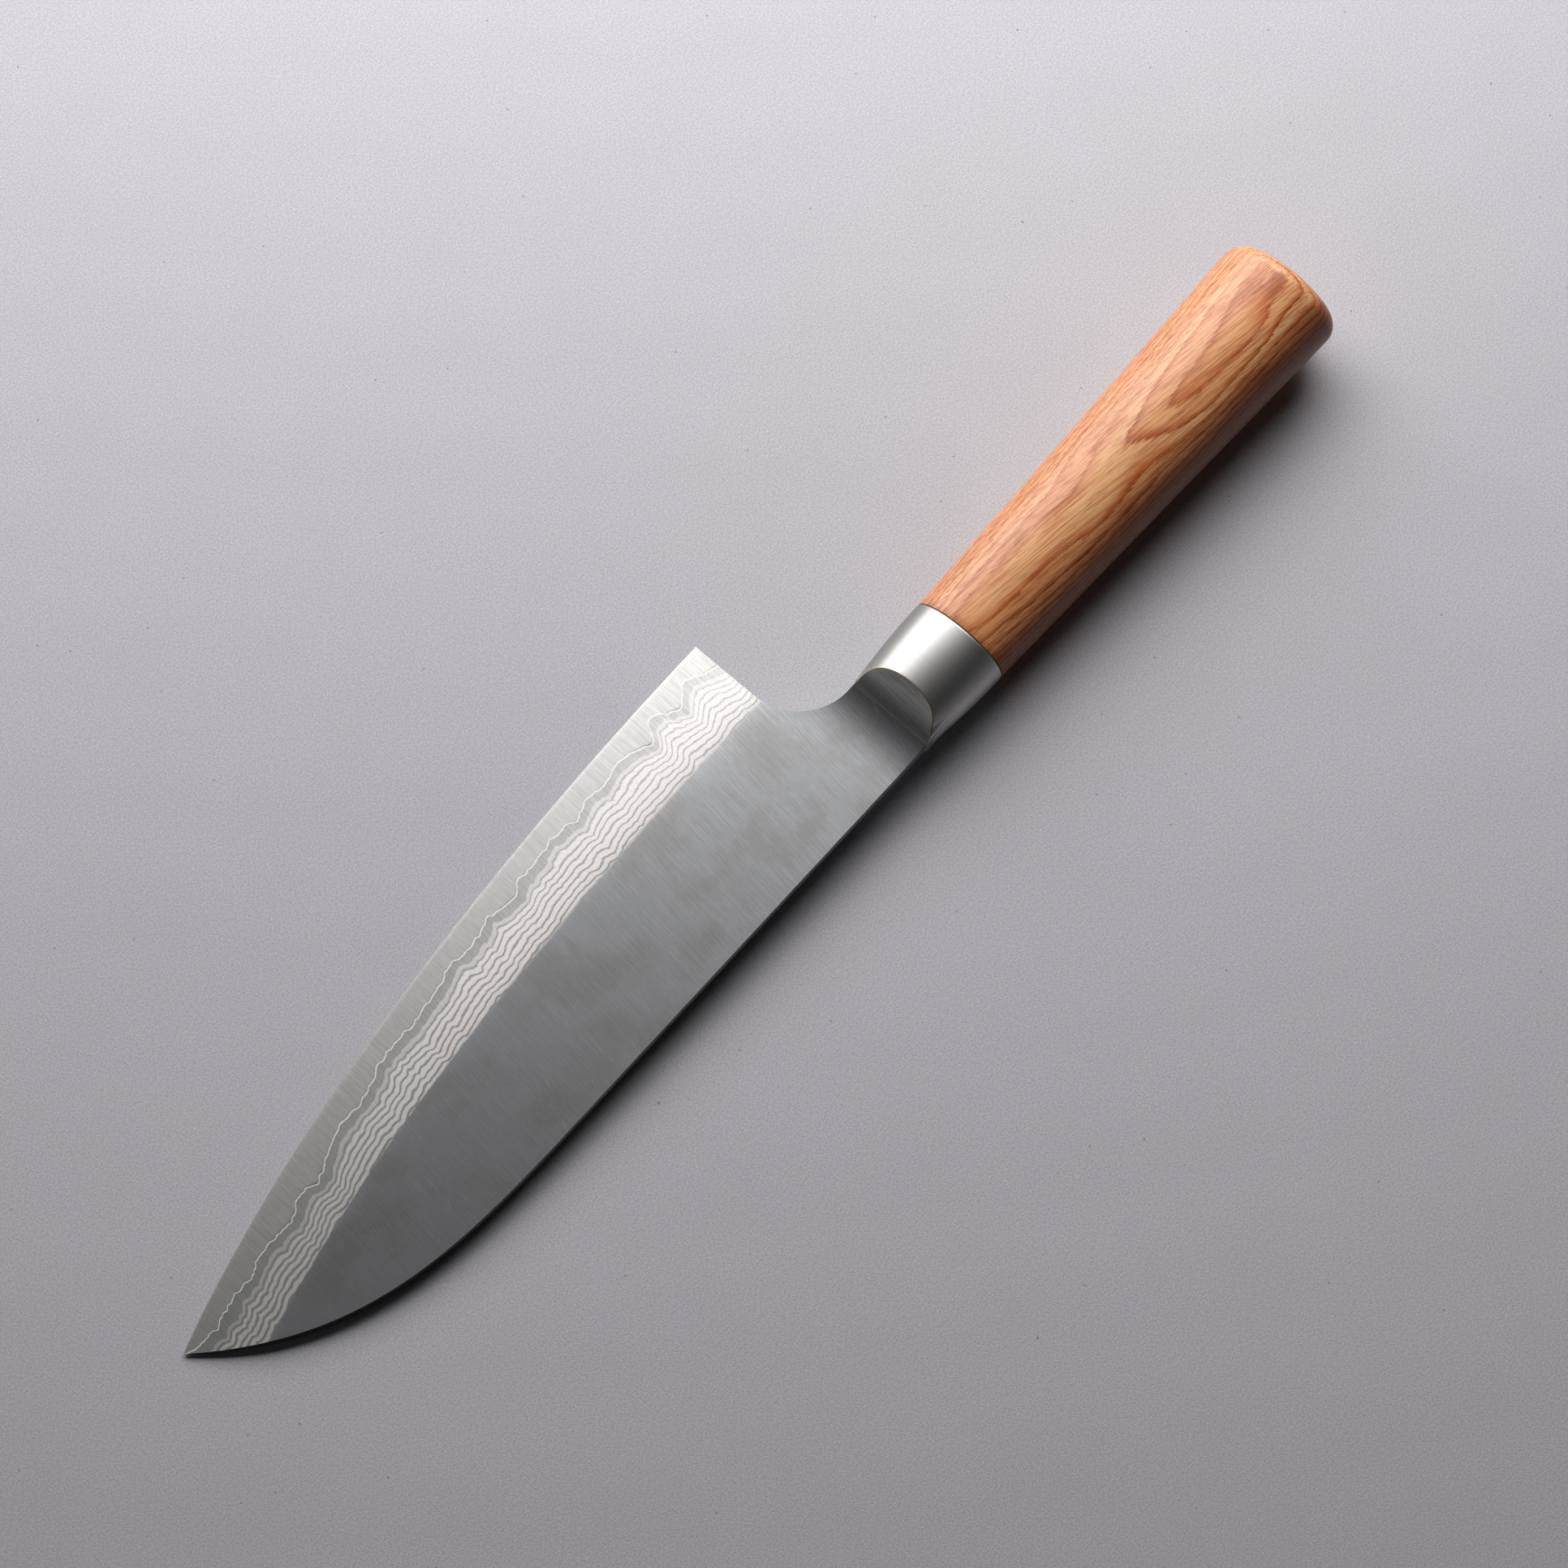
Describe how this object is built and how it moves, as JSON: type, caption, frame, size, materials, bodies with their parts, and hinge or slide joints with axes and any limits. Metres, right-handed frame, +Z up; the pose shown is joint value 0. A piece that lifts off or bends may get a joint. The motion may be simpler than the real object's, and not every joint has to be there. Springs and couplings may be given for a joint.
{
  "type": "kitchen knife",
  "caption": "Santoku-pattern chef knife with a layered steel blade, a scooped steel bolster and an oval laminated wood handle on a hidden tang.",
  "frame": {"origin": "on the table, under the middle of the knife's box", "axes": "+X along the knife from the butt to the tip, +Y from the edge towards the spine, +Z up, out of the blade's right face"},
  "size_m": [0.2988, 0.0498, 0.0211],
  "materials": {
    "core_steel": "bare hard steel, ground across the edge",
    "clad_steel": "brushed flats, etched wavy layers on the bevel",
    "bolster_steel": "fine satin",
    "tang_steel": "bare mill finish",
    "laminated_wood": "satin sealed laminated hardwood",
    "resin": "dark set resin"
  },
  "bodies": {
    "root": {"blade_core": "core_steel", "cladding_right": "clad_steel", "cladding_left": "clad_steel", "bolster": "bolster_steel", "tang_bar": "tang_steel", "handle_block": "laminated_wood", "resin_bedding": "resin"}
  },
  "joints": []
}
